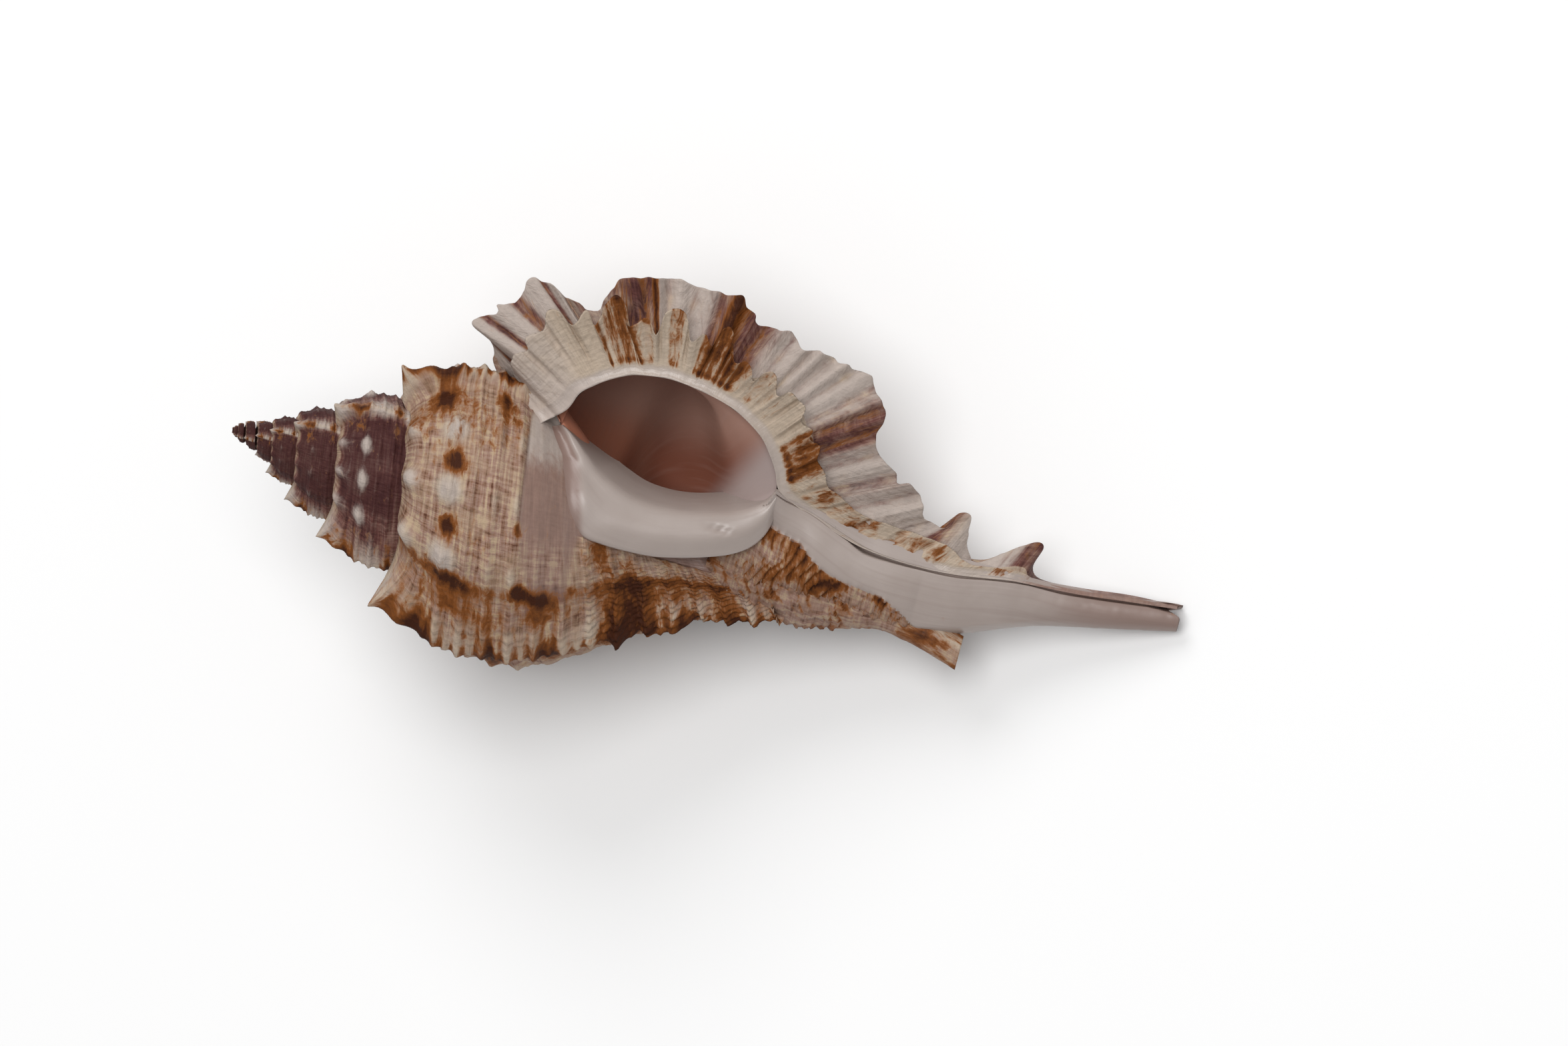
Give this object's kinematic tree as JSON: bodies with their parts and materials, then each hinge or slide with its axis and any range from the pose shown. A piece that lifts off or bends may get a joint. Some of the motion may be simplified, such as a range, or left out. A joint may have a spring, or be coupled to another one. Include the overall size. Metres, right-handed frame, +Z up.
{
  "type": "murex shell",
  "caption": "Murex sea shell lying on its back with the aperture up: coiled spire, ridged varices, folded winged outer lip and a long spined canal.",
  "frame": {"origin": "on the surface that the shell rests on, under the middle of its bounding box", "axes": "+X from the apex to the tip of the siphonal canal, +Y to the wing of the outer lip, +Z up out of the aperture"},
  "size_m": [0.1058, 0.0482, 0.0388],
  "materials": {
    "shell": "natural shell: ribbed cream, brown and mauve outside, glossy pinkish white around the aperture"
  },
  "bodies": {
    "root": {"shell": "shell"}
  },
  "joints": []
}
